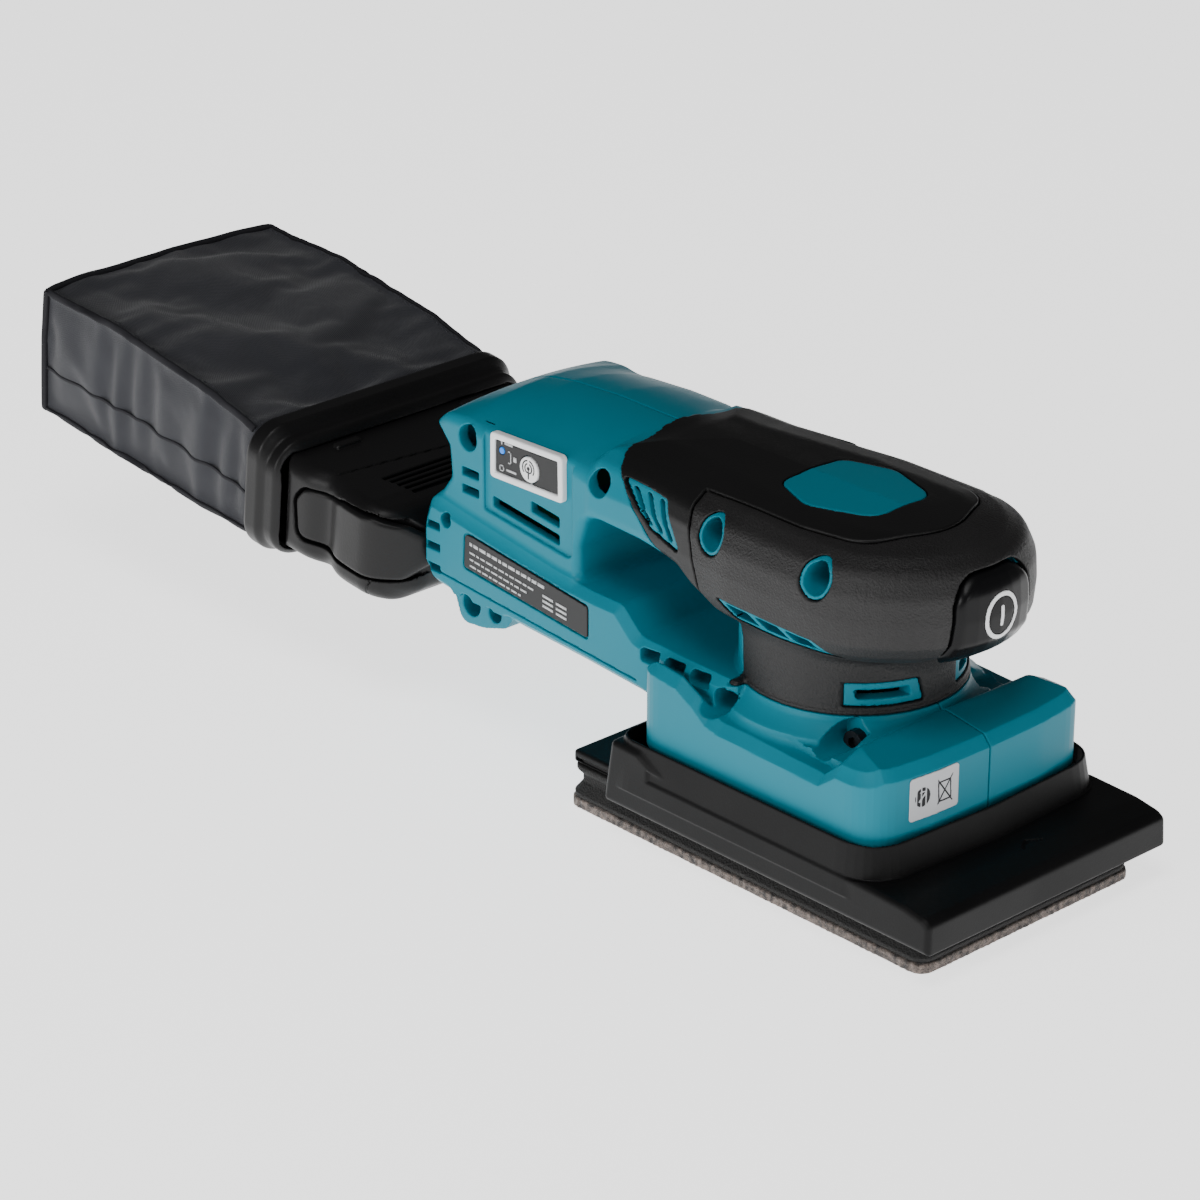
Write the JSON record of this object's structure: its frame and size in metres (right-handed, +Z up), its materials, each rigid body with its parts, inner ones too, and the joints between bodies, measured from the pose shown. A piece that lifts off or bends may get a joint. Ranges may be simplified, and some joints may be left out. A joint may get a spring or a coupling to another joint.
{
  "type": "orbital sander",
  "caption": "Orbital finishing sander with a soft-grip head, loop handle, rectangular orbiting pad under a shroud, and a latched cloth dust bag.",
  "frame": {"origin": "centre of the pad's flat sanding face at the rest position of its orbit", "axes": "+Z up through the head, along the pad face's inward normal; +Y back along the handle towards the dust bag; -Y to the power button; X across the width, with the control panel on -X"},
  "size_m": [0.0972, 0.3748, 0.1027],
  "materials": {
    "teal_plastic": "satin moulded, fine grain",
    "soft_grip": "grained soft grip",
    "black_plastic": "satin moulded",
    "gloss_black": "smooth",
    "felt": "hook cloth backing, speckled",
    "foam": "fine cellular foam rubber",
    "steel": "machined",
    "zinc": "die cast",
    "copper_iron": "wound core",
    "dark_steel": "black oxide",
    "board": "coated board",
    "white_plastic": "smooth",
    "label_dark": "printed film",
    "label_grey": "printed film",
    "led": "clear lens",
    "rubber": "moulded",
    "bag_cloth": "woven twill"
  },
  "bodies": {
    "sander": {"housing_left": "teal_plastic", "housing_right": "teal_plastic", "grip_left": "soft_grip", "grip_right": "soft_grip", "top_grip_panel": "black_plastic", "top_badge": "teal_plastic", "switch_module": "black_plastic", "controller_board": "board", "power_inlet": "black_plastic", "control_bezel": "white_plastic", "control_face": "label_dark", "status_led": "led", "rating_label": "label_dark", "front_label": "label_grey", "duct_seal": "rubber", "stator": "copper_iron", "lower_bearing": "steel", "upper_bearing": "steel", "housing_screw_1": "dark_steel", "housing_screw_2": "dark_steel", "housing_screw_3": "dark_steel", "housing_screw_4": "dark_steel", "housing_screw_5": "dark_steel", "housing_screw_6": "dark_steel", "housing_screw_7": "dark_steel", "housing_screw_8": "dark_steel", "support_post_1": "rubber", "support_post_2": "rubber", "support_post_3": "rubber", "support_post_4": "rubber"},
    "drive": {"eccentric": "zinc", "fan": "black_plastic", "motor_shaft": "steel", "rotor": "dark_steel", "pad_bearing_inner": "steel"},
    "pad": {"hook_felt": "felt", "foam_pad": "foam", "base_plate": "black_plastic", "pad_shroud": "black_plastic", "pad_bearing_outer": "steel"},
    "button": {"power_button": "gloss_black"},
    "wireless": {"wireless_button": "white_plastic"},
    "dust_box": {"box_head": "black_plastic", "box_frame": "black_plastic", "dust_bag": "bag_cloth", "bag_wire": "steel", "latch_pin_left": "steel", "latch_pin_right": "steel"},
    "left_lever": {"latch_left": "black_plastic"},
    "right_lever": {"latch_right": "black_plastic"}
  },
  "joints": [
    {"name": "shaft_spin", "type": "hinge", "parent": "sander", "child": "drive", "pos_m": [0, -0.0015, 0.05], "axis": [0, 0, 1], "continuous": true, "deforming": ["support_post_1", "support_post_2", "support_post_3", "support_post_4"]},
    {"name": "pad_turn", "type": "hinge", "parent": "drive", "child": "pad", "pos_m": [0, 0, 0.0174], "axis": [0, 0, 1], "continuous": true},
    {"name": "button_press", "type": "slide", "parent": "sander", "child": "button", "axis": [0, 1, 0], "range_m": [0, 0.002], "stiffness_N_per_m": 900, "springref_m": -0.001},
    {"name": "wireless_press", "type": "slide", "parent": "sander", "child": "wireless", "axis": [1, 0, 0], "range_m": [0, 0.0005], "stiffness_N_per_m": 1500, "springref_m": -0.0003},
    {"name": "box_slide", "type": "slide", "parent": "sander", "child": "dust_box", "axis": [0, 0.9936, 0.1132], "range_m": [0, 0.06]},
    {"name": "left_latch", "type": "hinge", "parent": "dust_box", "child": "left_lever", "pos_m": [-0.0443, 0.16183, 0.05306], "axis": [0, -0.1132, 0.9936], "range_deg": [-4, 0], "stiffness_Nm_per_rad": 0.2, "springref_deg": 5.73},
    {"name": "right_latch", "type": "hinge", "parent": "dust_box", "child": "right_lever", "pos_m": [0.0443, 0.16183, 0.05306], "axis": [0, -0.1132, 0.9936], "range_deg": [0, 4], "stiffness_Nm_per_rad": 0.2, "springref_deg": -5.73}
  ],
  "couplings": [
    {"joint": "pad_turn", "follows": "shaft_spin", "ratio": -1}
  ]
}
